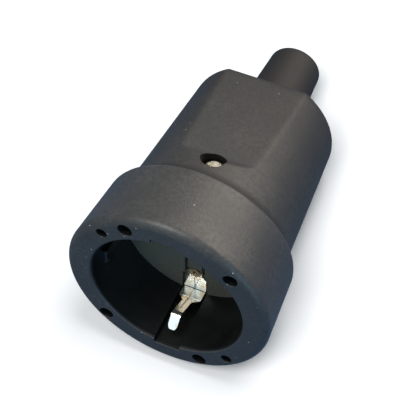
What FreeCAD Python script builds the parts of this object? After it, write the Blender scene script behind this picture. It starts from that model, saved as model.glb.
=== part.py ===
"""Inline socket connector: the rubber mains coupler at the end of an extension lead.

A one-piece rubber housing (collar, grip and cord boot) holds a moulded socket cup and, behind it, a
contact base with two split pin sleeves, an earth strap, three wire terminals and a cord clamp. One
screw through the grip locks the insert in the rubber.

Every piece is modelled about the connector's own axis: the rim face is at y = 0, y runs back to the
cord, z points to the screw side and x goes through both pin holes. At the end the whole connector is
laid down as it comes to rest, on the collar's rear edge and on the rear edge of the lower flat.
"""
import FreeCAD, Part
import math
import os

# Rubber housing, front to back
lip_setback = 0.1
lip_depth = 1.2
mouth_edge_chamfer = 0.5
collar_wall = 4.4
collar_flare = 1.5
collar_cover = 1.1
rim_edge_radius = 2.0
collar_edge_radius = 1.3
grip_length = 43.6
grip_step = 2.95
grip_taper = 2.85
grip_wall = 3.2
shoulder_radius = 3.4
shoulder_wall = 5.7
funnel_mouth_setback = 1.4
boot_length = 22.1
boot_wall = 2.6
boot_taper = 1.2
boot_root_fillet = 1.2
boot_edge_radius = 1.8
cord_bore_radius = 4.6
bore_edge_chamfer = 0.4

# Flat panels cut in the grip, above and below
panel_setback = 10.8
panel_front_cut = 2.45
panel_rear_cut = 3.6
panel_run_out_angle = 35.0
panel_run_out_radius = 2.0
panel_rear_radius = 3.5
panel_rear_overrun = 0.2
panel_crease_radius = 0.7
panel_wall = 2.6

# Blind holes in the rim face, by angle from the x axis
rim_hole_inset = 3.4
rim_hole_depth = 6.0
wide_rim_hole_radius = 1.9
wide_rim_hole_angles = (44.6, 115.0, 224.4, 292.5)
narrow_rim_hole_radius = 1.45
narrow_rim_hole_angles = (133.6, 314.4)

# Socket cup
recess_depth = 17.5
cup_mouth_radius = 19.9
cup_draft = 0.7
cup_wall = 1.1
cup_seat_thickness = 2.0
floor_thickness = 4.0
pin_spacing = 19.0
pin_hole_clearance = 0.35
pin_hole_lead = 0.7
guide_rib_width = 4.5
guide_rib_height = 1.8
guide_rib_setback = 3.8
guide_rib_edge_radius = 0.7
channel_depth = 1.4
channel_wall = 1.2
floor_slit_width = 0.8
floor_slit_length = 6.5
floor_slit_depth = 1.6
clip_pocket_depth = 1.2

# Contact base with its barrier walls and the saddle for the cord
barrier_thickness = 1.2
barrier_height = 7.0
neck_half_width = 9.0
saddle_length = 7.5
saddle_thickness = 3.5
saddle_end_gap = 1.5
wire_gap = 3.52
cord_space_radius = 5.0
clamp_seat_drop = 1.0
clamp_length = 6.0
clamp_thickness = 2.2

# Split pin sleeves, their springs and the wire terminals behind them
pin_radius = 2.4
pin_bore_depth = 16.4
sleeve_radius = 3.5
sleeve_slit_width = 0.7
sleeve_slit_length = 6.6
sleeve_flange_height = 0.7
sleeve_flange_thickness = 1.2
sleeve_flange_setback = 7.2
spring_thickness = 0.6
spring_width = 2.6
spring_gap = 1.6
spring_setback = 1.4
wire_hole_radius = 1.6
wire_hole_depth = 5.4
terminal_reach = 5.98
terminal_setback = 2.8

# Earth clips, strap and rivets, in sheet metal of one thickness
sheet_thickness = 0.8
clip_half_width = 3.0
clip_finger_half_width = 1.25
clip_plate_half_width = 1.9
clip_plate_margin = 1.6
clip_plate_neck = 1.3
clip_plate_flare_length = 1.7
clip_side_clearance = 0.5
clip_wall_clearance = 2.0
clip_fold_radius = 0.6
clip_bend_radius = 1.0
clip_lobe_length = 4.0
clip_hump_height = 3.7
clip_hump_setback = 6.3
clip_tip_setback = 3.4
clip_tip_lift = 0.7
clip_groove_half_width = 0.3
clip_groove_depth = 0.3
clip_groove_end_margin = 2.0
strap_half_width = 3.0
strap_end_margin = 1.8
strap_spigot_radius = 1.9
rivet_radius = 1.1
rivet_offset = 11.6
rivet_head_radius = 1.6
rivet_head_thickness = 0.5
rivet_dimple_radius = 0.6

# Screws
terminal_screw_radius = 1.5
terminal_head_radius = 2.4
terminal_head_height = 1.7
base_screw_radius = 1.45
base_head_radius = 2.5
base_head_height = 2.2
base_screw_bite = 2.5
base_screw_margin = 2.16
base_screw_angle = 52.7
clamp_screw_radius = 1.45
clamp_head_radius = 2.3
clamp_head_height = 1.8
retaining_screw_radius = 1.7
retaining_head_radius = 2.6
retaining_head_height = 2.0
retaining_screw_setback = 7.9
retaining_screw_sink = 0.9
retaining_screw_length = 7.8
screw_hole_radius = 3.25
screw_head_chamfer = 0.5
screw_slot_width = 0.8
screw_slot_depth = 0.9
nut_width = 5.5
nut_thickness = 2.5
nut_cover = 4.3

# Clearances between pieces, and how far a cutter runs past what it cuts
fit = 0.08
housing_fit = 0.12
overcut = 1.0

# Radii from the plug recess outwards
mouth_radius = cup_mouth_radius + lip_setback
cup_floor_radius = cup_mouth_radius - cup_draft
cup_outer_radius = cup_mouth_radius + cup_wall
channel_reach = cup_mouth_radius + channel_depth
channel_half_width = clip_half_width + clip_side_clearance
rim_hole_circle = mouth_radius + rim_hole_inset
collar_rear_radius = cup_outer_radius + collar_wall
collar_front_radius = collar_rear_radius + collar_flare
grip_front_radius = collar_rear_radius - grip_step
grip_rear_radius = grip_front_radius - grip_taper
boot_tip_radius = cord_bore_radius + boot_wall
boot_root_radius = boot_tip_radius + boot_taper
pin_hole_radius = pin_radius + pin_hole_clearance
sleeve_flange_radius = sleeve_radius + sleeve_flange_height

# Stations along the axis, and what else follows from the sizes above
cup_seat = recess_depth + cup_seat_thickness
floor_back = recess_depth + floor_thickness
clip_seat = recess_depth + clip_pocket_depth
collar_length = cup_seat + collar_cover
grip_end = collar_length + grip_length
boot_end = grip_end + boot_length
panel_start = collar_length + panel_setback
panel_end = grip_end + panel_rear_overrun
chamber_end = grip_end - shoulder_wall
saddle_back = chamber_end - saddle_end_gap
saddle_front = saddle_back - saddle_length
sleeve_back = saddle_front - wire_gap
base_back = sleeve_back - terminal_reach
strap_back = floor_back + sheet_thickness
strap_half_length = rivet_offset + strap_end_margin
clip_plate_start = rivet_offset - clip_plate_margin
clip_plate_flare_start = rivet_offset + clip_plate_neck
pin_x = pin_spacing / 2
sleeve_front = floor_back + fit
sleeve_flange_front = sleeve_front + sleeve_flange_setback
sleeve_flange_back = sleeve_flange_front + sleeve_flange_thickness
terminal_station = sleeve_back - terminal_setback
terminal_head_seat = sleeve_radius + fit
saddle_bottom = -clamp_seat_drop - cord_space_radius - saddle_thickness
clamp_station = (saddle_front + saddle_back) / 2
clamp_bar_top = clamp_thickness - clamp_seat_drop
clamp_screw_x = cord_space_radius + clamp_thickness + clamp_head_radius + 4 * fit
clamp_screw_tip = saddle_bottom + clamp_seat_drop
saddle_half_width = clamp_screw_x + clamp_head_radius
screw_station = collar_length + retaining_screw_setback

along_x = FreeCAD.Vector(1, 0, 0)
along_y = FreeCAD.Vector(0, 1, 0)
along_z = FreeCAD.Vector(0, 0, 1)
origin = FreeCAD.Vector(0, 0, 0)


def grip_radius(y):
    """Radius of the grip's cone at a station, run on past both its ends."""
    return grip_front_radius + (grip_rear_radius - grip_front_radius) * (y - collar_length) / grip_length


def panel_height(y):
    """Height of the upper flat above the axis; its cut deepens towards the cord."""
    share = (y - panel_start) / (grip_end - panel_start)
    return grip_radius(y) - panel_front_cut - (panel_rear_cut - panel_front_cut) * share


base_screw_circle = grip_radius(base_back) - grip_wall - housing_fit - base_head_radius - base_screw_margin
base_screw_x = base_screw_circle * math.cos(math.radians(base_screw_angle))
base_screw_z = base_screw_circle * math.sin(math.radians(base_screw_angle))
screw_seat = panel_height(screw_station) - panel_wall - housing_fit - retaining_screw_sink
screw_tip = screw_seat - retaining_screw_length
nut_top = screw_seat - nut_cover
nut_bottom = nut_top - nut_thickness


def rounded_face(corners):
    """Flat face inside an outline of (point, radius) corners; a radius of 0 leaves the corner sharp."""
    bends = []
    for i, (point, radius) in enumerate(corners):
        before = (corners[i - 1][0] - point).normalize()
        after = (corners[(i + 1) % len(corners)][0] - point).normalize()
        if radius == 0:
            bends.append((point, None, point))
            continue
        half_angle = before.getAngle(after) / 2
        reach = radius / math.tan(half_angle)
        inward = (before + after).normalize()
        middle = point + inward * (radius / math.sin(half_angle) - radius)
        bends.append((point + before * reach, middle, point + after * reach))
    edges = []
    for i, (arrive, middle, leave) in enumerate(bends):
        if middle is not None:
            edges.append(Part.Arc(arrive, middle, leave).toShape())
        edges.append(Part.LineSegment(leave, bends[(i + 1) % len(bends)][0]).toShape())
    return Part.Face(Part.Wire(edges))


def turned(profile):
    """Solid of revolution from corners of (radius, station) or (radius, station, rounding)."""
    corners = [(FreeCAD.Vector(c[0], c[1], 0), c[2] if len(c) > 2 else 0) for c in profile]
    return rounded_face(corners).revolve(origin, along_y, 360)


def side_prism(profile, half_width):
    """Prism across x from corners of (station, height) or (station, height, rounding)."""
    corners = [(FreeCAD.Vector(-half_width, c[0], c[1]), c[2] if len(c) > 2 else 0) for c in profile]
    return rounded_face(corners).extrude(along_x * (2 * half_width))


def plan_prism(profile, bottom, top):
    """Prism along z from corners of (x, station) or (x, station, rounding)."""
    corners = [(FreeCAD.Vector(c[0], c[1], bottom), c[2] if len(c) > 2 else 0) for c in profile]
    return rounded_face(corners).extrude(along_z * (top - bottom))


def front_prism(profile, front, back):
    """Prism along the axis from corners of (x, height) or (x, height, rounding)."""
    corners = [(FreeCAD.Vector(c[0], front, c[1]), c[2] if len(c) > 2 else 0) for c in profile]
    return rounded_face(corners).extrude(along_y * (back - front))


def mirrored_outline(right_side):
    """Closed outline from the corners on its right side, in order, and their mirror images."""
    return right_side + [(-c[0],) + c[1:] for c in reversed(right_side)]


def box(x_range, y_range, z_range):
    """Box between three (low, high) ranges."""
    size = [high - low for low, high in (x_range, y_range, z_range)]
    return Part.makeBox(*size, FreeCAD.Vector(x_range[0], y_range[0], z_range[0]))


def rod(radius, start, end, x=0.0, z=0.0):
    """Round rod along the axis direction between two stations."""
    return Part.makeCylinder(radius, end - start, FreeCAD.Vector(x, start, z), along_y)


def upright_rod(radius, bottom, top, x=0.0, y=0.0):
    """Round rod along z between two heights."""
    return Part.makeCylinder(radius, top - bottom, FreeCAD.Vector(x, y, bottom), along_z)


def placed(shape, x, y, z):
    """Copy of a shape moved by three distances."""
    copy = shape.copy()
    copy.translate(FreeCAD.Vector(x, y, z))
    return copy


def opposite(shape):
    """Copy of a shape turned half way round the axis."""
    copy = shape.copy()
    copy.rotate(origin, along_y, 180)
    return copy


def both_sides(shape):
    """A shape together with its copy half way round the axis."""
    return shape.fuse(opposite(shape))


def between_flats(front, back, inset):
    """Wide prism between the two flats, drawn in by an inset, from one station to another."""
    upper = [(front, panel_height(front) - inset), (back, panel_height(back) - inset)]
    lower = [(y, -z) for y, z in reversed(upper)]
    return side_prism(upper + lower, collar_front_radius)


def chamber(front, back, clearance):
    """The insert's space inside the grip, drawn in by a clearance: a cone with two flats."""
    wall = grip_wall + clearance
    front_radius = grip_radius(front) - wall
    back_radius = grip_radius(back) - wall
    cone = turned([(0, front), (front_radius, front), (back_radius, back), (0, back)])
    return cone.common(between_flats(front, back, panel_wall + clearance))


def earth_channel(front, back, margin):
    """Upper channel in the cup's wall that an earth clip stands in, widened by a margin."""
    half_width = channel_half_width + margin
    return box((-half_width, half_width), (front, back), (0, channel_reach + margin))


def panel_cutter():
    """What is taken off the top of the grip: flat, its run-out to the collar and the rounded rear edge."""
    top = collar_front_radius
    start_height = panel_height(panel_start)
    run_out = (top - start_height) / math.tan(math.radians(panel_run_out_angle))
    boot_clearance = boot_root_radius + boot_root_fillet
    return side_prism(
        [
            (panel_start - run_out, top),
            (panel_start, start_height, panel_run_out_radius),
            (panel_end, panel_height(panel_end), panel_rear_radius),
            (panel_end, boot_clearance),
            (boot_end, boot_clearance),
            (boot_end, top),
        ],
        collar_front_radius,
    )


def panel_creases(body):
    """Edges where the cone of the grip meets the flats and their run-outs."""
    creases = []
    for edge in body.Edges:
        faces = body.ancestorsOfType(edge, Part.Face)
        surfaces = {type(face.Surface).__name__ for face in faces}
        behind_collar = edge.BoundBox.YMin > collar_length + fit
        before_shoulder = edge.BoundBox.YMax < grip_end - fit
        if surfaces == {"Cone", "Plane"} and behind_collar and before_shoulder:
            creases.append(edge)
    return creases


def make_rubber_housing():
    """Collar, grip and boot in one moulding, with the insert's space and the lip over the cup."""
    body = turned(
        [
            (0, 0),
            (collar_front_radius, 0, rim_edge_radius),
            (collar_rear_radius, collar_length, collar_edge_radius),
            (grip_front_radius, collar_length),
            (grip_rear_radius, grip_end, shoulder_radius),
            (boot_root_radius, grip_end, boot_root_fillet),
            (boot_tip_radius, boot_end, boot_edge_radius),
            (0, boot_end),
        ]
    )
    body = body.cut(both_sides(panel_cutter()))
    body = body.makeFillet(panel_crease_radius, panel_creases(body))

    mouth = turned(
        [
            (0, -overcut),
            (mouth_radius + mouth_edge_chamfer + overcut, -overcut),
            (mouth_radius, mouth_edge_chamfer),
            (mouth_radius, lip_depth),
            (0, lip_depth),
        ]
    )
    mouth = mouth.fuse(both_sides(earth_channel(-overcut, lip_depth, 0)))
    cup_space = rod(cup_outer_radius + housing_fit, lip_depth, cup_seat)
    cup_space = cup_space.fuse(both_sides(earth_channel(lip_depth, cup_seat, channel_wall + housing_fit)))
    funnel = turned(
        [
            (0, chamber_end),
            (grip_radius(chamber_end) - grip_wall, chamber_end),
            (cord_bore_radius, grip_end - funnel_mouth_setback),
            (cord_bore_radius, boot_end - bore_edge_chamfer),
            (cord_bore_radius + bore_edge_chamfer + overcut, boot_end + overcut),
            (0, boot_end + overcut),
        ]
    )
    funnel = funnel.common(between_flats(chamber_end, boot_end + overcut, panel_wall))
    for hollow in (mouth, cup_space, chamber(cup_seat, chamber_end, 0), funnel):
        body = body.cut(hollow)

    for radius, angles in (
        (wide_rim_hole_radius, wide_rim_hole_angles),
        (narrow_rim_hole_radius, narrow_rim_hole_angles),
    ):
        for angle in angles:
            x = rim_hole_circle * math.cos(math.radians(angle))
            z = rim_hole_circle * math.sin(math.radians(angle))
            body = body.cut(rod(radius, -overcut, rim_hole_depth, x, z))
    return body.cut(upright_rod(screw_hole_radius, 0, collar_front_radius, y=screw_station))


def make_socket_cup():
    """Moulded recess for the plug: drafted wall, thick floor, guide ribs and the channels for the clips."""
    cup = turned(
        [
            (0, recess_depth),
            (cup_floor_radius, recess_depth),
            (cup_mouth_radius, lip_depth),
            (cup_outer_radius, lip_depth),
            (cup_outer_radius, cup_seat),
            (0, cup_seat),
        ]
    )
    cup = cup.fuse(chamber(cup_seat, floor_back, housing_fit))
    swelling = earth_channel(lip_depth, cup_seat, channel_wall)
    swelling = swelling.cut(rod(cup_mouth_radius, lip_depth, cup_seat))
    cup = cup.fuse(both_sides(swelling))
    cup = cup.cut(both_sides(earth_channel(lip_depth - overcut, recess_depth, 0)))

    rib_top = cup_mouth_radius - guide_rib_height
    rib_front = lip_depth + guide_rib_setback
    rib_root = (cup_mouth_radius + cup_outer_radius) / 2
    rib = plan_prism(
        [
            (rib_root, rib_front),
            (rib_top, rib_front, guide_rib_edge_radius),
            (rib_top, recess_depth),
            (rib_root, recess_depth),
        ],
        -guide_rib_width / 2,
        guide_rib_width / 2,
    )
    cup = cup.fuse(both_sides(rib))

    pin_hole = turned(
        [
            (0, recess_depth - overcut),
            (pin_hole_radius + pin_hole_lead + overcut, recess_depth - overcut),
            (pin_hole_radius, recess_depth + pin_hole_lead),
            (pin_hole_radius, floor_back + overcut),
            (0, floor_back + overcut),
        ]
    )
    pocket_half_width = clip_plate_half_width + fit
    plate_pocket = box(
        (-pocket_half_width, pocket_half_width),
        (recess_depth - overcut, clip_seat),
        (clip_plate_start - fit, channel_reach),
    )
    fold_pocket = box(
        (-channel_half_width, channel_half_width),
        (recess_depth - overcut, clip_seat),
        (clip_plate_flare_start, channel_reach),
    )
    slit = box(
        (pocket_half_width, pocket_half_width + floor_slit_width),
        (recess_depth - overcut, recess_depth + floor_slit_depth),
        (clip_plate_flare_start - floor_slit_length, clip_plate_flare_start),
    )
    rivet_hole = rod(rivet_radius + fit, recess_depth - overcut, floor_back + overcut, z=rivet_offset)
    hole_bottom = floor_back - base_screw_bite - fit
    screw_hole = rod(base_screw_radius + fit, hole_bottom, floor_back + overcut, base_screw_x, -base_screw_z)
    slits = slit.fuse(slit.mirror(origin, along_x))
    for cutter in (placed(pin_hole, pin_x, 0, 0), plate_pocket, fold_pocket, slits, rivet_hole, screw_hole):
        cup = cup.cut(both_sides(cutter))
    return cup.removeSplitter()


def make_contact_base():
    """Moulded block behind the cup: sleeve bores, nut slot, barrier walls and the saddle for the cord."""
    base = chamber(floor_back, base_back, housing_fit)
    neck = box(
        (-neck_half_width, neck_half_width),
        (base_back - overcut, saddle_front + overcut),
        (saddle_bottom, saddle_bottom + saddle_thickness),
    )
    saddle = box(
        (-saddle_half_width, saddle_half_width),
        (saddle_front, saddle_back),
        (saddle_bottom, -clamp_seat_drop),
    )
    saddle = saddle.common(chamber(saddle_front, saddle_back, housing_fit))
    saddle = saddle.cut(rod(cord_space_radius, saddle_front, saddle_back))
    barrier_x = pin_x / 2
    barrier = box(
        (barrier_x - barrier_thickness / 2, barrier_x + barrier_thickness / 2),
        (base_back - overcut, sleeve_back + overcut),
        (saddle_bottom, barrier_height),
    )
    for added in (neck, saddle, barrier, barrier.mirror(origin, along_x)):
        base = base.fuse(added)

    sleeve_bore = rod(sleeve_radius + fit, floor_back - overcut, base_back + overcut, pin_x)
    flange_bore = rod(sleeve_flange_radius + fit, floor_back - overcut, sleeve_flange_back, pin_x)
    pocket_end = strap_back + rivet_head_thickness + fit
    rivet_pocket = rod(rivet_head_radius + fit, floor_back, pocket_end, z=rivet_offset)
    screw_hole = rod(base_screw_radius + fit, floor_back - overcut, base_back, base_screw_x, -base_screw_z)
    head_start = base_back - base_head_height
    head_pocket = rod(base_head_radius + fit, head_start, base_back + overcut, base_screw_x, -base_screw_z)
    for cutter in (sleeve_bore, flange_bore, rivet_pocket, screw_hole, head_pocket):
        base = base.cut(both_sides(cutter))

    strap_recess = box(
        (-strap_half_width - fit, strap_half_width + fit),
        (floor_back - overcut, strap_back),
        (-strap_half_length - fit, strap_half_length + fit),
    )
    post_bore = rod(sleeve_radius + fit, floor_back, base_back + overcut)
    nut_slot = box(
        (-nut_width / 2 - fit, nut_width / 2 + fit),
        (floor_back, screw_station + nut_width / 2 + fit),
        (nut_bottom, nut_top),
    )
    bore_radius = retaining_screw_radius + fit
    screw_bore = upright_rod(bore_radius, screw_tip - fit, collar_front_radius, y=screw_station)
    screw_face = upright_rod(screw_hole_radius, screw_seat, collar_front_radius, y=screw_station)
    for cutter in (strap_recess, post_bore, nut_slot, screw_bore, screw_face):
        base = base.cut(cutter)
    for x in (-clamp_screw_x, clamp_screw_x):
        base = base.cut(upright_rod(clamp_screw_radius + fit, clamp_screw_tip - fit, 0, x, clamp_station))
    return base.removeSplitter()


def terminal_end(blank):
    """Wire hole and threaded cross hole at the rear end of a sleeve or post on the axis."""
    wire_hole = rod(wire_hole_radius, sleeve_back - wire_hole_depth, sleeve_back + overcut)
    cross_hole = upright_rod(terminal_screw_radius + fit, 0, sleeve_radius + overcut, y=terminal_station)
    return blank.cut(wire_hole).cut(cross_hole).removeSplitter()


def make_pin_sleeve():
    """Turned brass sleeve on the axis: split spring fingers, seating flange and wire terminal."""
    sleeve = rod(sleeve_radius, sleeve_front, sleeve_back)
    sleeve = sleeve.fuse(rod(sleeve_flange_radius, sleeve_flange_front, sleeve_flange_back))
    sleeve = sleeve.cut(rod(pin_radius, sleeve_front - overcut, sleeve_front + pin_bore_depth))
    saw_cut = box(
        (-sleeve_slit_width / 2, sleeve_slit_width / 2),
        (sleeve_front - overcut, sleeve_front + sleeve_slit_length),
        (-sleeve_radius - overcut, sleeve_radius + overcut),
    )
    return terminal_end(sleeve.cut(saw_cut))


def make_sleeve_spring():
    """Open ring of spring steel that squeezes the sleeve's fingers, on the axis."""
    start = sleeve_front + spring_setback
    end = start + spring_width
    inner = sleeve_radius + fit / 2
    ring = rod(inner + spring_thickness, start, end).cut(rod(inner, start, end))
    return ring.cut(box((-spring_gap / 2, spring_gap / 2), (start, end), (0, inner + spring_thickness)))


def make_earth_post():
    """Brass post on the axis, riveted to the strap at its front and holding the earth wire at its rear."""
    post = rod(sleeve_radius, strap_back, sleeve_back)
    return terminal_end(post.fuse(rod(strap_spigot_radius, floor_back, strap_back)))


def make_earth_strap():
    """Flat strip between the cup and the base that joins both clips to the post."""
    strap = box(
        (-strap_half_width, strap_half_width),
        (floor_back, strap_back),
        (-strap_half_length, strap_half_length),
    )
    strap = strap.cut(rod(strap_spigot_radius + fit, floor_back, strap_back))
    return strap.cut(both_sides(rod(rivet_radius + fit, floor_back, strap_back, z=rivet_offset)))


def offset_line(route, level):
    """Corners of a bent line beside a middle line of (station, height, inside bend radius) points."""
    points = [FreeCAD.Vector(0, y, z) for y, z, bend in route]
    runs = [(after - before).normalize() for before, after in zip(points, points[1:])]
    sides = [along_x.cross(run) for run in runs]
    corners = [(points[0] + sides[0] * level, 0)]
    for i in range(1, len(route) - 1):
        shift = (sides[i - 1] + sides[i]) * (level / (1 + sides[i - 1].dot(sides[i])))
        turns_to_side = runs[i].dot(sides[i - 1]) > 0
        reach = -level if turns_to_side else level
        corners.append((points[i] + shift, route[i][2] + sheet_thickness / 2 + reach))
    corners.append((points[-1] + sides[-1] * level, 0))
    return [(point.y, point.z, radius) for point, radius in corners]


def bent_strip(route, half_width, near_level, far_level):
    """Strip across x between two levels beside the middle line of a bent sheet."""
    outline = offset_line(route, near_level) + offset_line(route, far_level)[::-1]
    return side_prism(outline, half_width)


def make_earth_clip():
    """Upper earth clip: plate on the floor, lobe in the channel and a humped, grooved spring finger."""
    half_sheet = sheet_thickness / 2
    plate_station = clip_seat - half_sheet
    wall_height = channel_reach - clip_wall_clearance - half_sheet
    lobe_end = plate_station - clip_lobe_length
    hump_height = wall_height - clip_hump_height
    fold = (plate_station, wall_height, clip_fold_radius)
    lobe_bend = (lobe_end, wall_height, clip_bend_radius)
    hump = (clip_hump_setback, hump_height, clip_bend_radius)
    plate_end = (plate_station, clip_plate_start, 0)
    tip = (clip_tip_setback, wall_height - clip_tip_lift, 0)
    strip = bent_strip([plate_end, fold, lobe_bend, hump, tip], clip_half_width, half_sheet, -half_sheet)

    finger_slope = (wall_height - hump_height) / (lobe_end - clip_hump_setback)
    groove_front = clip_hump_setback + clip_groove_end_margin
    groove_start = (plate_station, rivet_offset + clip_groove_end_margin, 0)
    groove_end = (groove_front, hump_height + finger_slope * clip_groove_end_margin, 0)
    groove = bent_strip(
        [groove_start, fold, lobe_bend, groove_end],
        clip_groove_half_width,
        half_sheet + fit,
        half_sheet - clip_groove_depth,
    )
    strip = strip.cut(groove)

    finger_start = lobe_end - (clip_half_width - clip_finger_half_width)
    finger_end = clip_tip_setback - half_sheet
    finger_plan = plan_prism(
        mirrored_outline(
            [
                (clip_half_width, clip_seat),
                (clip_half_width, lobe_end, clip_bend_radius),
                (clip_finger_half_width, finger_start, clip_bend_radius),
                (clip_finger_half_width, finger_end, clip_finger_half_width - fit),
            ]
        ),
        hump_height - overcut,
        channel_reach,
    )
    flare_end = clip_plate_flare_start + clip_plate_flare_length
    plate_plan = front_prism(
        mirrored_outline(
            [
                (clip_plate_half_width, clip_plate_start, clip_plate_half_width - fit),
                (clip_plate_half_width, clip_plate_flare_start, clip_bend_radius),
                (clip_half_width, flare_end, clip_bend_radius),
                (clip_half_width, channel_reach),
            ]
        ),
        clip_seat - sheet_thickness,
        clip_seat,
    )
    clip = strip.common(finger_plan.fuse(plate_plan))
    return clip.cut(rod(rivet_radius + fit, 0, clip_seat, z=rivet_offset)).removeSplitter()


def make_earth_rivet():
    """Upper rivet with a dimpled head that holds a clip's plate to the floor and to the strap behind it."""
    plate_front = clip_seat - sheet_thickness
    head_front = plate_front - rivet_head_thickness
    rivet = rod(rivet_radius, plate_front, strap_back, z=rivet_offset)
    rivet = rivet.fuse(rod(rivet_head_radius, head_front, plate_front, z=rivet_offset))
    rivet = rivet.fuse(rod(rivet_head_radius, strap_back, strap_back + rivet_head_thickness, z=rivet_offset))
    return rivet.cut(rod(rivet_dimple_radius, head_front, clip_seat, z=rivet_offset)).removeSplitter()


def slotted_screw(shank_radius, head_radius, head_height, length):
    """Pan-head screw standing on z = 0, head up, with a straight slot; its plain shank hangs below."""
    head = upright_rod(head_radius, 0, head_height)
    rim = [edge for edge in head.Edges if edge.BoundBox.ZMin > head_height / 2]
    screw = head.makeChamfer(screw_head_chamfer, rim).fuse(upright_rod(shank_radius, -length, 0))
    slot = box(
        (-head_radius, head_radius),
        (-screw_slot_width / 2, screw_slot_width / 2),
        (head_height - screw_slot_depth, head_height),
    )
    return screw.cut(slot).removeSplitter()


def make_base_screw():
    """Screw on the axis, driven in from behind, that holds the base to the cup."""
    length = base_back - base_head_height - floor_back + base_screw_bite
    screw = slotted_screw(base_screw_radius, base_head_radius, base_head_height, length)
    screw.rotate(origin, along_x, -90)
    return placed(screw, 0, base_back - base_head_height, 0)


def make_retaining_screw():
    """Screw in the grip's hole that locks the base in the rubber."""
    screw = slotted_screw(
        retaining_screw_radius, retaining_head_radius, retaining_head_height, retaining_screw_length
    )
    return placed(screw, 0, screw_station, screw_seat)


def make_retaining_nut():
    """Square nut in the base's slot that takes the retaining screw."""
    half = nut_width / 2
    nut = box((-half, half), (screw_station - half, screw_station + half), (nut_bottom, nut_top))
    return nut.cut(upright_rod(retaining_screw_radius + fit, nut_bottom, nut_top, y=screw_station))


def make_cord_clamp():
    """Arched bar that is screwed down on the saddle over the cord."""
    start = clamp_station - clamp_length / 2
    end = clamp_station + clamp_length / 2
    across = (-saddle_half_width, saddle_half_width)
    arch = rod(cord_space_radius + clamp_thickness, start, end)
    arch = arch.cut(box(across, (start, end), (-saddle_half_width, -clamp_seat_drop)))
    clamp = arch.fuse(box(across, (start, end), (-clamp_seat_drop, clamp_bar_top)))
    clamp = clamp.cut(rod(cord_space_radius, start, end))
    hole_radius = clamp_screw_radius + fit
    for x in (-clamp_screw_x, clamp_screw_x):
        clamp = clamp.cut(upright_rod(hole_radius, -clamp_seat_drop, clamp_bar_top, x, clamp_station))
    return clamp.removeSplitter()


def resting_turn():
    """Turn that brings the two edges which carry the connector to one height, and that height."""
    collar_slope = math.atan2(collar_front_radius - collar_rear_radius, collar_length)
    collar_y = collar_length - collar_edge_radius
    collar_reach = collar_rear_radius + collar_edge_radius * math.tan(collar_slope)
    collar_z = collar_edge_radius / math.cos(collar_slope) - collar_reach
    flat_slope = math.atan2(panel_height(0) - panel_height(grip_end), grip_end)
    flat_y = panel_end - panel_rear_radius
    flat_z = panel_rear_radius / math.cos(flat_slope) - panel_height(flat_y)
    span = math.hypot(flat_y - collar_y, flat_z - collar_z)
    rise = math.atan2(flat_z - collar_z, flat_y - collar_y)
    tilt = rise - math.asin((panel_rear_radius - collar_edge_radius) / span)
    turn = FreeCAD.Placement(origin, FreeCAD.Rotation(along_x, -math.degrees(tilt)))
    height = turn.multVec(FreeCAD.Vector(0, collar_y, collar_z)).z - collar_edge_radius
    return turn, height


def laid_down(shapes):
    """The connector at rest, its lowest point at z = 0 and the middle of its box at x = y = 0."""
    turn, height = resting_turn()
    housing = shapes["rubber_housing"].copy()
    housing.Placement = turn
    extent = housing.optimalBoundingBox()
    shift = FreeCAD.Placement(
        FreeCAD.Vector(0, -(extent.YMin + extent.YMax) / 2, -height), FreeCAD.Rotation()
    )
    for shape in shapes.values():
        shape.Placement = shift.multiply(turn).multiply(shape.Placement)
    return shapes


sleeve = make_pin_sleeve()
spring = make_sleeve_spring()
clip = make_earth_clip()
rivet = make_earth_rivet()
base_screw = make_base_screw()
terminal_screw = slotted_screw(
    terminal_screw_radius, terminal_head_radius, terminal_head_height, terminal_head_seat - wire_hole_radius
)
clamp_screw = slotted_screw(
    clamp_screw_radius, clamp_head_radius, clamp_head_height, clamp_bar_top - clamp_screw_tip
)
pieces = {
    "rubber_housing": make_rubber_housing(),
    "socket_cup": make_socket_cup(),
    "contact_base": make_contact_base(),
    "left_pin_sleeve": placed(sleeve, -pin_x, 0, 0),
    "right_pin_sleeve": placed(sleeve, pin_x, 0, 0),
    "left_sleeve_spring": placed(spring, -pin_x, 0, 0),
    "right_sleeve_spring": placed(spring, pin_x, 0, 0),
    "left_terminal_screw": placed(terminal_screw, -pin_x, terminal_station, terminal_head_seat),
    "right_terminal_screw": placed(terminal_screw, pin_x, terminal_station, terminal_head_seat),
    "earth_post": make_earth_post(),
    "earth_terminal_screw": placed(terminal_screw, 0, terminal_station, terminal_head_seat),
    "earth_strap": make_earth_strap(),
    "upper_earth_clip": clip,
    "lower_earth_clip": opposite(clip),
    "upper_earth_rivet": rivet,
    "lower_earth_rivet": opposite(rivet),
    "left_base_screw": placed(base_screw, -base_screw_x, 0, base_screw_z),
    "right_base_screw": placed(base_screw, base_screw_x, 0, -base_screw_z),
    "retaining_screw": make_retaining_screw(),
    "retaining_nut": make_retaining_nut(),
    "cord_clamp": make_cord_clamp(),
    "left_clamp_screw": placed(clamp_screw, -clamp_screw_x, clamp_station, clamp_bar_top),
    "right_clamp_screw": placed(clamp_screw, clamp_screw_x, clamp_station, clamp_bar_top),
}

os.makedirs("parts", exist_ok=True)
for name, shape in laid_down(pieces).items():
    shape.exportStep("parts/" + name + ".step")
    print(name, len(shape.Solids), "solid", round(shape.Volume, 1), "cubic mm")
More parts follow.
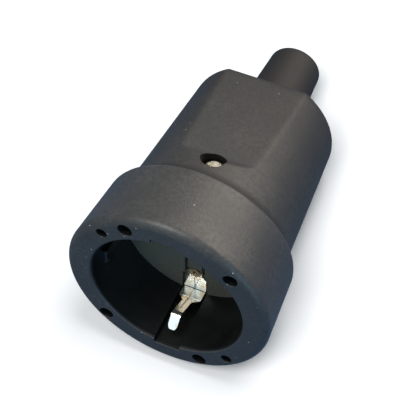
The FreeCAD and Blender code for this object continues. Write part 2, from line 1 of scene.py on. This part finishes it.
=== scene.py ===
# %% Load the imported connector
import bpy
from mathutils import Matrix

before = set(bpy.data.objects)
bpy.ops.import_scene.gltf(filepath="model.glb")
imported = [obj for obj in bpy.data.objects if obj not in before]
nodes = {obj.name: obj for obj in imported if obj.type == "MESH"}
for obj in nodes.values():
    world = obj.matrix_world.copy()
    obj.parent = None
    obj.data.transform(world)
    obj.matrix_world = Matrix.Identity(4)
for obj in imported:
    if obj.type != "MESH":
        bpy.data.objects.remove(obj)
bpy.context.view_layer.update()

MM = 0.001

# %% [markdown]
# The object is a black rubber inline socket, the end of an extension lead. The frame that was just
# loaded holds every piece at its real size in metres, lying on the floor as the real one does: on
# the edge of its collar and on the edge of the flat under the grip. Because the pieces are already
# in place, this lesson is about what they are made of, how they are lit and where the eye stands.

# %% Tools used all through
import math

import bmesh
import bpy
from mathutils import Matrix, Vector

scene = bpy.context.scene

# %% [markdown]
# The connector lies tilted, so its own axes are not the room's. A maker thinks along the connector:
# y runs from the rim face to the cord, z points out of the side with the screw and x to the right
# of somebody who looks into the mouth. One small function turns such a point, in millimetres, into
# the room's metres. Typing room coordinates by hand would work too, but nobody could read them.

# %% From the connector's own axes to the room
RIM_FACE = Vector((0.0, -40.0829, 29.0646)) * MM
SINE_OF_TILT = 0.214259
TILT_ANGLE = math.asin(SINE_OF_TILT)
TILT = Matrix.Rotation(-TILT_ANGLE, 3, "X")
LENGTH = 86.3


def along_connector(x, y, z):
    return RIM_FACE + TILT @ (Vector((x, y, z)) * MM)


print("cord end of the axis:", [round(v, 4) for v in along_connector(0, LENGTH, 0)])

# %% [markdown]
# The photograph was taken from above and from the right of the mouth with a longish lens. A camera
# can be aimed by hand until the outline fits, but here it was fitted to lengths that are standard
# on such a socket: the round recess and the spacing of the pin holes. The three directions below
# are what that fit gave: the picture's right, its up, and the line from the object to the eye.

# %% Camera
PICTURE_RIGHT = Vector((0.91452, 0.39706, -0.07741))
PICTURE_UP = Vector((-0.32131, 0.82921, 0.45735))
TOWARDS_EYE = Vector((0.24579, -0.39338, 0.88591))
EYE = Vector((0.081744, -0.144058, 0.321426))
SENSOR_MM, LENS_MM = 36, 113.87

camera_data = bpy.data.cameras.new("camera")
camera_data.sensor_width = SENSOR_MM
camera_data.lens = LENS_MM
camera = bpy.data.objects.new("camera", camera_data)
turn = Matrix((PICTURE_RIGHT, PICTURE_UP, TOWARDS_EYE)).transposed().to_4x4()
camera.matrix_world = Matrix.Translation(EYE) @ turn
scene.collection.objects.link(camera)
scene.camera = camera
scene.view_settings.view_transform = "Standard"
print("camera", round(EYE.length, 3), "m from the origin, lens", LENS_MM, "mm")

# %% [markdown]
# Colours are written as the hex values a designer would pick from a sample, which are sRGB. Shaders
# count in linear light, so one function converts them. A second one adds a node to a material with
# its settings, its links and the stops of a colour ramp in one call. Nodes could be wired one by
# one, but then the wiring hides what the material is about.


# %% Colour and node helpers
def linear(hex_colour):
    # the curve of the sRGB standard: straight near black, a power above it
    channels = [int(hex_colour[i : i + 2], 16) / 255 for i in (1, 3, 5)]
    curve = [c / 12.92 if c <= 0.04045 else ((c + 0.055) / 1.055) ** 2.4 for c in channels]
    return (*curve, 1.0)


def add(tree, kind, inputs=None, stops=(), **settings):
    node = tree.nodes.new(kind)
    for name, value in settings.items():
        setattr(node, name, value)
    for name, value in (inputs or {}).items():
        if isinstance(value, bpy.types.NodeSocket):
            tree.links.new(value, node.inputs[name])
        else:
            node.inputs[name].default_value = value
    for number, (position, colour) in enumerate(stops):
        ramp = node.color_ramp.elements
        stop = ramp[number] if number < len(ramp) else ramp.new(position)
        stop.position = position
        stop.color = colour
    return node


def new_material(name):
    material = bpy.data.materials.new(name)
    material.use_nodes = True
    tree = material.node_tree
    return material, tree, tree.nodes["Principled BSDF"]


def per_mm(size):
    return 1 / (size * MM)


# A Mix node has one set of sockets for each kind of value, so its colour sockets go by number.
MIX_A, MIX_B, MIXED = 6, 7, 2
print("mid grey in linear light:", [round(c, 3) for c in linear("#808080")])

# %% [markdown]
# A pattern that belongs to a place on the connector, such as a matt floor in a shiny cup, has to
# know how far along the connector it is. Object coordinates are the room's here, so a Mapping node
# turns them back by the tilt and shifts them until the rim face is at zero.

# %% Where a pattern starts
UNTILT = (TILT_ANGLE, 0.0, 0.0)
TO_RIM = -(TILT.transposed() @ RIM_FACE)


def place_on_connector(tree):
    in_room = add(tree, "ShaderNodeTexCoord").outputs["Object"]
    turned = {"Vector": in_room, "Location": TO_RIM, "Rotation": UNTILT}
    return add(tree, "ShaderNodeMapping", turned).outputs["Vector"]


print("shift of the patterns in mm:", [round(v / MM, 2) for v in TO_RIM])

# %% [markdown]
# The housing is moulded rubber. It comes out of a blasted steel mould, so its skin is matt with a
# broad, dull shine, and handling leaves it cloudy: paler where it was rubbed, darker where it was
# not. A flat grey would look like paint, and a picture would have to be wrapped round the shape. So
# two noises mix three greys: wide clouds, and small spots on top of them.

# %% Moulded rubber: its cloudy grey
RUBBER_CLOUD, RUBBER_SPOT = 9.0, 1.0
CLOUD_GREYS = ((0.35, linear("#393939")), (0.68, linear("#454443")))
SPOT_GREY = linear("#363636")
# a spot fades in between these values of its noise
SPOT_FROM, SPOT_TO = 0.36, 0.64

rubber, tree, skin = new_material("moulded_rubber_blasted_mould")
place = place_on_connector(tree)
clouds = {"Vector": place, "Scale": per_mm(RUBBER_CLOUD), "Detail": 4.0}
cloud = add(tree, "ShaderNodeTexNoise", clouds)
cloudy = add(tree, "ShaderNodeValToRGB", {"Fac": cloud.outputs["Fac"]}, stops=CLOUD_GREYS)
spots = {"Vector": place, "Scale": per_mm(RUBBER_SPOT), "Detail": 3.0}
spot = add(tree, "ShaderNodeTexNoise", spots).outputs["Fac"]
spotted = add(
    tree, "ShaderNodeMapRange", {"Value": spot, "From Min": SPOT_FROM, "From Max": SPOT_TO}
)
grey = add(
    tree,
    "ShaderNodeMix",
    {"Factor": spotted.outputs["Result"], MIX_A: cloudy.outputs["Color"], MIX_B: SPOT_GREY},
    data_type="RGBA",
)
print("rubber clouds", RUBBER_CLOUD, "mm and spots", RUBBER_SPOT, "mm wide")

# %% [markdown]
# Dust stays where nobody rubs it off: mostly on the rim face round the mouth, with an odd fleck
# elsewhere. Grains could be scattered as tiny meshes, but they are too thin to cast a shadow that
# shows. So they are colour only: space is cut into cells, each cell draws a number, and the cells
# with the highest numbers hold one pale fleck.

# %% Dust on the rubber
DUST_SPACING = 1.6
FLECK_SHARE = 0.11
DUST_GREY = linear("#a4a7a9")
# a cell holds a fleck if its number is above this: often on the rim face, seldom behind it
DUST_ON_RIM, DUST_ELSEWHERE, RIM_DEPTH = 0.60, 0.975, 1.5

axes = add(tree, "ShaderNodeSeparateXYZ", {"Vector": place}).outputs
along = axes["Y"]
cells = add(
    tree, "ShaderNodeTexVoronoi", {"Vector": place, "Scale": per_mm(DUST_SPACING)}
).outputs
drawn = add(tree, "ShaderNodeSeparateColor", {"Color": cells["Color"]}).outputs["Red"]
limit = add(
    tree,
    "ShaderNodeMapRange",
    {"Value": along, "From Max": RIM_DEPTH * MM, "To Min": DUST_ON_RIM, "To Max": DUST_ELSEWHERE},
).outputs["Result"]
chosen = add(tree, "ShaderNodeMath", {0: drawn, 1: limit}, operation="GREATER_THAN").outputs[0]
near = add(
    tree, "ShaderNodeMath", {0: cells["Distance"], 1: FLECK_SHARE}, operation="LESS_THAN"
).outputs[0]
fleck = add(tree, "ShaderNodeMath", {0: chosen, 1: near}, operation="MULTIPLY").outputs[0]
dusty = add(
    tree,
    "ShaderNodeMix",
    {"Factor": fleck, MIX_A: grey.outputs[MIXED], MIX_B: DUST_GREY},
    data_type="RGBA",
)
print("dust flecks up to", round(2 * FLECK_SHARE * DUST_SPACING, 2), "mm wide")

# %% [markdown]
# The corner behind the collar is drawn much darker, the grip a little and the cord boot more.
# This is painted shade: the shade in that corner and the light that falls off towards the cord.
# The rubber there is also rougher, so its shine is duller. The housing could be cut into zones
# with a material each, but the change is gradual. So a colour ramp along the connector says how
# much shade is painted: each pair is a distance from the rim face and that share.

# %% Painted shade behind the collar and towards the cord
PAINTED_SHADE_STOPS = ((20.0, 0.0), (20.6, 1.0), (22.8, 0.95), (24.4, 0.28), (60.0, 0.6), (68.0, 1.0))
# the grey of the painted shade
PAINTED_SHADE_GREY = linear("#201f1f")

part_way = add(tree, "ShaderNodeMath", {0: along, 1: per_mm(LENGTH)}, operation="MULTIPLY")
painted_shade = add(
    tree,
    "ShaderNodeValToRGB",
    {"Fac": part_way.outputs[0]},
    stops=[(station / LENGTH, (share, share, share, 1.0)) for station, share in PAINTED_SHADE_STOPS],
).outputs["Color"]
with_painted_shade = add(
    tree,
    "ShaderNodeMix",
    {"Factor": painted_shade, MIX_A: dusty.outputs[MIXED], MIX_B: PAINTED_SHADE_GREY},
    data_type="RGBA",
)
# the stops printed here are those of the painted shade
print("stops of the wear along the connector:", len(PAINTED_SHADE_STOPS))

# %% [markdown]
# The blind holes in the rim, the inside of the lip and the screw hole are painted black: painted
# shade, for the little light that gets into them. Their faces could be picked by hand, one by one.
# Here distances find them instead: from the rim face, from the axis and, on the upper side, from
# the screw.

# %% Painted shade inside the holes
HOLE_FROM, HOLE_TO, HOLE_REACH = 0.25, 15.0, 25.6
SCREW_AT, SCREW_HOLE = (0.0, 28.5, 0.0), 3.35
# the black of the painted shade in the holes
PAINTED_HOLE_SHADE = linear("#0d0d0e")
ACROSS, FROM_ABOVE = (1.0, 0.0, 1.0), (1.0, 1.0, 0.0)

cut = add(tree, "ShaderNodeVectorMath", {0: place, 1: ACROSS}, operation="MULTIPLY").outputs[0]
from_axis = add(tree, "ShaderNodeVectorMath", {0: cut}, operation="LENGTH").outputs["Value"]
plan = add(tree, "ShaderNodeVectorMath", {0: place, 1: FROM_ABOVE}, operation="MULTIPLY").outputs[0]
from_screw = add(
    tree, "ShaderNodeVectorMath", {0: plan, 1: Vector(SCREW_AT) * MM}, operation="DISTANCE"
).outputs["Value"]
HOLES = {
    "rim": (
        (along, "GREATER_THAN", HOLE_FROM),
        (along, "LESS_THAN", HOLE_TO),
        (from_axis, "LESS_THAN", HOLE_REACH),
    ),
    "screw": ((from_screw, "LESS_THAN", SCREW_HOLE), (axes["Z"], "GREATER_THAN", 0.0)),
}
in_any = 0.0
for tests in HOLES.values():
    inside = 1.0
    for distance, side, bound in tests:
        test = add(tree, "ShaderNodeMath", {0: distance, 1: bound * MM}, operation=side)
        both = {0: inside, 1: test.outputs[0]}
        inside = add(tree, "ShaderNodeMath", both, operation="MULTIPLY").outputs[0]
    in_any = add(tree, "ShaderNodeMath", {0: in_any, 1: inside}, operation="MAXIMUM").outputs[0]
with_painted_hole_shade = add(
    tree,
    "ShaderNodeMix",
    {"Factor": in_any, MIX_A: with_painted_shade.outputs[MIXED], MIX_B: PAINTED_HOLE_SHADE},
    data_type="RGBA",
)
tree.links.new(with_painted_hole_shade.outputs[MIXED], skin.inputs["Base Color"])
print("kinds of holes blackened:", sorted(HOLES))

# %% [markdown]
# The rubber's shine is broad and dull: a roughness near a half, a little more where the shade is
# painted. The blasted mould also leaves a fine grain, which is a bump made of noise. The edges of
# the flats run out softly. Their solids have real edges, so a Bevel node only turns the light
# there. It leaves the collar and the screw hole crisp.

# %% Shine, soft edges and grain of the rubber
# the blasted grain is about 0.15 mm; it is drawn at 0.4 mm so that it shows at this size
RUBBER_GRAIN, GRAIN_DEPTH = 0.4, 0.1
RUBBER_SMOOTH, RUBBER_ROUGH, ROUGHER_UNDER_PAINTED_SHADE = 0.42, 0.50, 0.22
SHARP_EDGE, SOFT_EDGE = 0.2, 2.0
# the edges soften between these distances from the rim face, and between these from the screw
SOFTER_FROM, SOFTER_TO = 22.0, 23.0
CRISP_TO, SOFT_BEYOND = 1.1 * SCREW_HOLE, 2 * SCREW_HOLE

matt = add(
    tree, "ShaderNodeMapRange", {"Value": spot, "To Min": RUBBER_SMOOTH, "To Max": RUBBER_ROUGH}
)
duller = add(
    tree,
    "ShaderNodeMath",
    {0: painted_shade, 1: ROUGHER_UNDER_PAINTED_SHADE, 2: matt.outputs["Result"]},
    operation="MULTIPLY_ADD",
)
soft_edge = add(
    tree,
    "ShaderNodeMapRange",
    {
        "Value": along,
        "From Min": SOFTER_FROM * MM,
        "From Max": SOFTER_TO * MM,
        "To Min": SHARP_EDGE * MM,
        "To Max": SOFT_EDGE * MM,
    },
).outputs["Result"]
off_hole = add(
    tree,
    "ShaderNodeMapRange",
    {"Value": from_screw, "From Min": CRISP_TO * MM, "From Max": SOFT_BEYOND * MM},
).outputs["Result"]
radius = add(tree, "ShaderNodeMath", {0: soft_edge, 1: off_hole}, operation="MULTIPLY").outputs[0]
rounded = add(tree, "ShaderNodeBevel", {"Radius": radius}, samples=8).outputs["Normal"]
grains = {"Vector": place, "Scale": per_mm(RUBBER_GRAIN), "Detail": 2.0}
grain = add(tree, "ShaderNodeTexNoise", grains).outputs["Fac"]
bump = add(
    tree,
    "ShaderNodeBump",
    {"Height": grain, "Strength": 0.6, "Distance": GRAIN_DEPTH * MM, "Normal": rounded},
)
tree.links.new(duller.outputs[0], skin.inputs["Roughness"])
tree.links.new(bump.outputs["Normal"], skin.inputs["Normal"])
skin.inputs["IOR"].default_value = 1.5
skin.inputs["Specular IOR Level"].default_value = 0.4
print("rubber grain drawn at", RUBBER_GRAIN, "mm")

# %% [markdown]
# The cup that takes the plug, the block behind it and the cord clamp are moulded in a hard black
# plastic. The walls of the cup leave a polished mould, so they are shinier than the rubber, with
# the faint waves of plastic that flowed. Their near black is painted shade, darker than the
# plastic. Its floor and all behind it come off spark-eroded faces of the mould and are matt. Their
# grey is painted light, paler than the plastic. Two materials would have to split the faces of the
# cup. One does both: how far a point is from the rim picks the one or the other.

# %% Hard moulded plastic: walls in painted shade, floor in painted light
PLASTIC_WAVE = 5.0
# the eroded face is pitted about every 0.1 mm; it is drawn at 0.5 mm so that it shows
PLASTIC_SCUFF = 0.5
CUP_FLOOR = 17.3
# walls darker than the plastic as painted shade, the floor paler as painted light
WALL_BLACKS_AS_SHADE = ((0.3, linear("#0b0c0c")), (0.75, linear("#141615")))
FLOOR_GREYS_AS_LIGHT = ((0.3, linear("#56544a")), (0.7, linear("#69665b")))

plastic, tree, skin = new_material("polyamide_polished_and_eroded_with_painted_light_and_shade")
place = place_on_connector(tree)
waves = {"Vector": place, "Scale": per_mm(PLASTIC_WAVE), "Detail": 3.0}
wave = add(tree, "ShaderNodeTexNoise", waves).outputs["Fac"]
wall_in_painted_shade = add(tree, "ShaderNodeValToRGB", {"Fac": wave}, stops=WALL_BLACKS_AS_SHADE)
scuffs = {"Vector": place, "Scale": per_mm(PLASTIC_SCUFF), "Detail": 3.0}
scuff = add(tree, "ShaderNodeTexNoise", scuffs).outputs["Fac"]
floor_in_painted_light = add(tree, "ShaderNodeValToRGB", {"Fac": scuff}, stops=FLOOR_GREYS_AS_LIGHT)
along = add(tree, "ShaderNodeSeparateXYZ", {"Vector": place}).outputs["Y"]
on_floor = add(
    tree, "ShaderNodeMath", {0: along, 1: CUP_FLOOR * MM}, operation="GREATER_THAN"
).outputs[0]
shade = add(
    tree,
    "ShaderNodeMix",
    {"Factor": on_floor, MIX_A: wall_in_painted_shade.outputs["Color"], MIX_B: floor_in_painted_light.outputs["Color"]},
    data_type="RGBA",
)
tree.links.new(shade.outputs[MIXED], skin.inputs["Base Color"])
print("plastic waves", PLASTIC_WAVE, "mm long, grey beyond", CUP_FLOOR, "mm from the rim")

# %% [markdown]
# The plastic's shine follows the same split. A polished wall gives back a soft picture of the
# lamps, the eroded floor gives back almost none.

# %% Shine of the plastic
WALL_SMOOTH, WALL_ROUGH, FLOOR_ROUGHER = 0.24, 0.38, 0.3
SCUFF_DEPTH = 0.03

gloss = add(
    tree, "ShaderNodeMapRange", {"Value": wave, "To Min": WALL_SMOOTH, "To Max": WALL_ROUGH}
)
rougher = add(
    tree,
    "ShaderNodeMath",
    {0: on_floor, 1: FLOOR_ROUGHER, 2: gloss.outputs["Result"]},
    operation="MULTIPLY_ADD",
)
bump = add(
    tree, "ShaderNodeBump", {"Height": scuff, "Strength": 0.12, "Distance": SCUFF_DEPTH * MM}
)
tree.links.new(rougher.outputs[0], skin.inputs["Roughness"])
tree.links.new(bump.outputs["Normal"], skin.inputs["Normal"])
skin.inputs["IOR"].default_value = 1.53
print("roughness of the walls", WALL_SMOOTH, "to", WALL_ROUGH)

# %% [markdown]
# The earth clips are strips of brass, stamped, bent and then plated with nickel. New plating is a
# warm bright silver; where a plug has rubbed, the brass shows through a little. So the metal mixes
# a nickel and a brass tint by a cloudy noise, and its roughness follows a finer noise, because
# plating that has been handled is never evenly bright. One plain metal would look newly made.

# %% Nickel plate on brass
PLATE_CLOUD, PLATE_SMEAR = 3.0, 0.7
NICKEL_TO_BRASS = ((0.45, linear("#ece9e1")), (0.72, linear("#d2b48e")))
PLATE_SMOOTH, PLATE_ROUGH = 0.16, 0.30
SMEAR_DEPTH = 0.05

plate, tree, skin = new_material("nickel_plated_brass_strip")
place = place_on_connector(tree)
clouds = {"Vector": place, "Scale": per_mm(PLATE_CLOUD), "Detail": 4.0}
cloud = add(tree, "ShaderNodeTexNoise", clouds)
tint = add(tree, "ShaderNodeValToRGB", {"Fac": cloud.outputs["Fac"]}, stops=NICKEL_TO_BRASS)
smears = {"Vector": place, "Scale": per_mm(PLATE_SMEAR), "Detail": 3.0}
smear = add(tree, "ShaderNodeTexNoise", smears).outputs["Fac"]
gloss = add(
    tree, "ShaderNodeMapRange", {"Value": smear, "To Min": PLATE_SMOOTH, "To Max": PLATE_ROUGH}
)
bump = add(
    tree, "ShaderNodeBump", {"Height": smear, "Strength": 0.03, "Distance": SMEAR_DEPTH * MM}
)
tree.links.new(bump.outputs["Normal"], skin.inputs["Normal"])
skin.inputs["Metallic"].default_value = 1.0
print("plating clouds", PLATE_CLOUD, "mm wide")

# %% [markdown]
# Two places on a clip get a colour of their own. The sharp fold between its plate and its spring
# is painted dark: painted shade in that crease. The riveting hurts the plating round the rivet, so
# the brass shows there, golden and dull. Both could be painted by hand; here a distance from each
# place mixes its colour in. The two clips mirror each other, so the signs of the coordinates are
# dropped first.

# %% Painted shade in the fold and stain round the rivet
FOLD_AT, FOLD_WIDTH = (0.0, 17.9, 18.5), 0.45
# the dark of the painted shade in the crease of the fold
PAINTED_FOLD_SHADE = linear("#2a241b")
RIVET_AT, RIVET_STAIN = (0.0, 18.0, 11.6), 2.3
STAIN_BRASS, STAIN_ROUGHER = linear("#d8b878"), 0.45
FROM_SIDE = (0.0, 1.0, 1.0)

mirrored = add(tree, "ShaderNodeVectorMath", {0: place}, operation="ABSOLUTE").outputs[0]
profile = add(
    tree, "ShaderNodeVectorMath", {0: mirrored, 1: FROM_SIDE}, operation="MULTIPLY"
).outputs[0]
colour = tint.outputs["Color"]
amounts = {}
for name, point, centre, reach, stain in (
    ("rivet", mirrored, RIVET_AT, RIVET_STAIN, STAIN_BRASS),
    ("fold", profile, FOLD_AT, FOLD_WIDTH, PAINTED_FOLD_SHADE),
):
    between = {0: point, 1: Vector(centre) * MM}
    gap = add(tree, "ShaderNodeVectorMath", between, operation="DISTANCE").outputs["Value"]
    fading = {"Value": gap, "From Max": reach * MM, "To Min": 1.0, "To Max": 0.0}
    amounts[name] = add(tree, "ShaderNodeMapRange", fading).outputs["Result"]
    mixing = {"Factor": amounts[name], MIX_A: colour, MIX_B: stain}
    colour = add(tree, "ShaderNodeMix", mixing, data_type="RGBA").outputs[MIXED]
corroded = add(
    tree,
    "ShaderNodeMath",
    {0: amounts["rivet"], 1: STAIN_ROUGHER, 2: gloss.outputs["Result"]},
    operation="MULTIPLY_ADD",
)
tree.links.new(colour, skin.inputs["Base Color"])
tree.links.new(corroded.outputs[0], skin.inputs["Roughness"])
print("marks on the clips:", sorted(amounts))

# %% [markdown]
# The rest of the metal is hidden deep inside, but it shows through the pin holes and the cord bore,
# and one screw head shows in the grip. The sleeves, the earth post with its strap and the nut are
# brass, the screws are zinc-plated steel and the spring rings are tempered steel. Each could have a
# cell of its own, but they differ only in colour and in how fine the tool marks are, so one cell
# makes all three.

# %% Turned brass, zinc-plated steel and spring steel
# bright and dull tint, least and most roughness, width of the tool marks in mm; the marks are drawn
# some times wider than real ones so that they show
METALS = {
    # a warm yellow with the fine marks of the lathe
    "turned_brass": ("#c9a24f", "#a9823a", 0.24, 0.42, 0.35),
    # pale and clouded, with grey where the driver rubbed the zinc off
    "zinc_plated_steel": ("#f0ecdd", "#8a836c", 0.24, 0.44, 0.8),
    # darker and bluish from the heat of tempering
    "tempered_spring_steel": ("#8d9096", "#6c6f78", 0.28, 0.40, 0.4),
}
BRIGHT_BELOW, DULL_ABOVE = 0.35, 0.75
metals = {}
for name, (bright, dull, smooth, rough, mark) in METALS.items():
    metals[name], tree, skin = new_material(name)
    place = add(tree, "ShaderNodeTexCoord").outputs["Object"]
    tooling = {"Vector": place, "Scale": per_mm(mark), "Detail": 3.0}
    marks = add(tree, "ShaderNodeTexNoise", tooling).outputs["Fac"]
    tints = ((BRIGHT_BELOW, linear(bright)), (DULL_ABOVE, linear(dull)))
    tint = add(tree, "ShaderNodeValToRGB", {"Fac": marks}, stops=tints)
    gloss = add(tree, "ShaderNodeMapRange", {"Value": marks, "To Min": smooth, "To Max": rough})
    tree.links.new(tint.outputs["Color"], skin.inputs["Base Color"])
    tree.links.new(gloss.outputs["Result"], skin.inputs["Roughness"])
    skin.inputs["Metallic"].default_value = 1.0
print("metals:", sorted(metals))

# %% [markdown]
# Each piece of the frame already names the finish that its maker gave it. Giving every piece its
# material by that name keeps the two lists together; assigning by piece would be a longer list to
# get wrong.

# %% Give every piece its material
FINISHES = {
    "black_rubber": rubber,
    "black_moulding": plastic,
    "plated_clip": plate,
    "contact_brass": metals["turned_brass"],
    "screw_steel": metals["zinc_plated_steel"],
    "spring_steel": metals["tempered_spring_steel"],
}
for piece in nodes.values():
    slot = piece.material_slots[0]
    slot.material = FINISHES[slot.name]
print("finished pieces:", len(nodes))

# %% [markdown]
# The connector stands out against plain white. White that reached every ray would light the sides
# of the connector, and in the photograph those are dark and cool. So the ground and the room show
# their white to the camera, and a tenth of it to the rays that shiny pieces send out. Turning the
# lamps up until the ground is white would be simpler, but it would bleach the rubber.

# %% Who sees the white
WHITE_IN_SHINE = 0.1


def share_of_white(tree):
    ray = add(tree, "ShaderNodeLightPath").outputs
    shiny = add(
        tree,
        "ShaderNodeMath",
        {0: ray["Is Glossy Ray"], 1: ray["Is Transmission Ray"]},
        operation="MAXIMUM",
    ).outputs[0]
    faint = add(
        tree, "ShaderNodeMath", {0: shiny, 1: WHITE_IN_SHINE}, operation="MULTIPLY"
    ).outputs[0]
    return add(
        tree, "ShaderNodeMath", {0: ray["Is Camera Ray"], 1: faint}, operation="MAXIMUM"
    ).outputs[0]


print("share of the white that shiny pieces show:", WHITE_IN_SHINE)

# %% [markdown]
# The ground is a sheet of white paper, matt and without shine, which takes a soft shadow. To the
# rays that carry light from it to the connector it is a dull blue instead, which gives the lower
# sides their cool tone. A real photographer would lay a dark card beside the object for that.

# %% Floor
FLOOR_HALF = 1.2

sheet_mesh = bpy.data.meshes.new("floor")
shape = bmesh.new()
bmesh.ops.create_grid(shape, x_segments=1, y_segments=1, size=FLOOR_HALF)
shape.to_mesh(sheet_mesh)
shape.free()
floor = bpy.data.objects.new("floor", sheet_mesh)
scene.collection.objects.link(floor)

sheet, tree, skin = new_material("white_paper_sheet")
tree.nodes.remove(skin)
paper = add(tree, "ShaderNodeBsdfDiffuse", {"Color": linear("#f4f4f4")}).outputs[0]
dull = add(tree, "ShaderNodeBsdfDiffuse", {"Color": linear("#255680")}).outputs[0]
mixed = add(tree, "ShaderNodeMixShader", {"Fac": share_of_white(tree), 1: dull, 2: paper})
tree.links.new(mixed.outputs[0], tree.nodes["Material Output"].inputs["Surface"])
floor.data.materials.append(sheet)
print("floor", 2 * FLOOR_HALF, "m square")

# %% [markdown]
# A large warm softbox stands behind the connector. It skims over the back and leaves the mouth in
# shade, and its reflection is the broad shine along the top. A smaller lamp overhead lights the
# collar, and a big soft one by the eye fills the rim and shows in the clip. A blue window cools the
# right side, and a small warm card before the mouth shows in the finger of the clip. One strong
# lamp would be simpler, but it would turn every bend of the metal into a white spot. Aiming is
# easiest along the connector, so each lamp is a row of a table.

# %% Lamps
LIT_SPOT = (0, 30, 0)
# where it stands in mm along the connector, its size in m, its power in W and its colour
LAMPS = {
    "softbox_behind": ((168, 305, 285), (0.52, 0.24), 2.32, (1.0, 0.88, 0.77)),
    "lamp_overhead": ((-80, -60, 300), (0.13, 0.13), 0.78, (1.0, 0.98, 0.92)),
    "lamp_by_the_eye": ((-86, -218, 207), (0.28, 0.28), 0.33, (0.74, 0.90, 1.0)),
    "window_to_the_right": ((280, -165, 40), (0.25, 0.25), 0.5, (0.34, 0.68, 1.0)),
    "card_before_the_mouth": ((-46, -157, -17), (0.07, 0.05), 0.02, (1.0, 0.93, 0.74)),
}
lamps = {}
for name, (stand, (width, height), watts, colour) in LAMPS.items():
    lamp_data = bpy.data.lights.new(name, "AREA")
    lamp_data.shape = "RECTANGLE"
    lamp_data.size, lamp_data.size_y = width, height
    lamp_data.energy = watts
    lamp_data.color = colour
    lamp = bpy.data.objects.new(name, lamp_data)
    scene.collection.objects.link(lamp)
    lamp.location = along_connector(*stand)
    aim = lamp.location - along_connector(*LIT_SPOT)
    lamp.rotation_euler = aim.to_track_quat("Z", "Y").to_euler()
    lamps[name] = lamp
    print(name, watts, "W at", [round(v, 3) for v in lamp.location])

# %% [markdown]
# The sheet has two lamps to itself: soft suns, one in front and one behind, that throw the shadow
# to both sides of the mouth. The other lamps leave the sheet out, or their shadows would cross it.
# Light linking does this; moving the lamps instead would spoil the shine on the rubber.

# %% Lamps for the sheet
SUN_SPREAD = math.radians(26)
# the way to the sun in the room and its strength in W per square metre; the two together bring the
# open paper just to white
SHEET_SUNS = {
    "sheet_sun_in_front": ((0.0, -0.35, 0.94), 2.3),
    "sheet_sun_behind": ((0.2, 0.2, 0.96), 1.5),
}
only_sheet = bpy.data.collections.new("only_the_sheet")
only_sheet.objects.link(floor)
for name, (towards, strength) in SHEET_SUNS.items():
    sun_data = bpy.data.lights.new(name, "SUN")
    sun_data.energy = strength
    sun_data.angle = SUN_SPREAD
    sun = bpy.data.objects.new(name, sun_data)
    scene.collection.objects.link(sun)
    sun.rotation_euler = Vector(towards).to_track_quat("Z", "Y").to_euler()
    sun.light_linking.receiver_collection = only_sheet
    print(name, strength, "W per square metre")

all_but_sheet = bpy.data.collections.new("all_but_the_sheet")
all_but_sheet.objects.link(floor)
all_but_sheet.collection_objects[0].light_linking.link_state = "EXCLUDE"
for lamp in lamps.values():
    lamp.light_linking.receiver_collection = all_but_sheet
print("lamps that leave the sheet out:", len(lamps))

# %% [markdown]
# The room itself gives a weak cool light from all round, which is most of what reaches the sides.
# To the camera it is white like the sheet, so that a low view shows no edge where the sheet ends. A
# larger sheet would do that too, but it would never quite reach the horizon.

# %% Room
ROOM_LIGHT = (0.06, 0.095, 0.12, 1.0)

world = bpy.data.worlds.new("room")
world.use_nodes = True
scene.world = world
tree = world.node_tree
room = tree.nodes["Background"]
room.inputs["Color"].default_value = ROOM_LIGHT
room.inputs["Strength"].default_value = 1.0
backdrop = add(tree, "ShaderNodeBackground", {"Color": linear("#ffffff"), "Strength": 1.0})
shown = {"Fac": share_of_white(tree), 1: room.outputs[0], 2: backdrop.outputs[0]}
mixed = add(tree, "ShaderNodeMixShader", shown)
tree.links.new(mixed.outputs[0], tree.nodes["World Output"].inputs["Surface"])
print("room light", ROOM_LIGHT[:3])
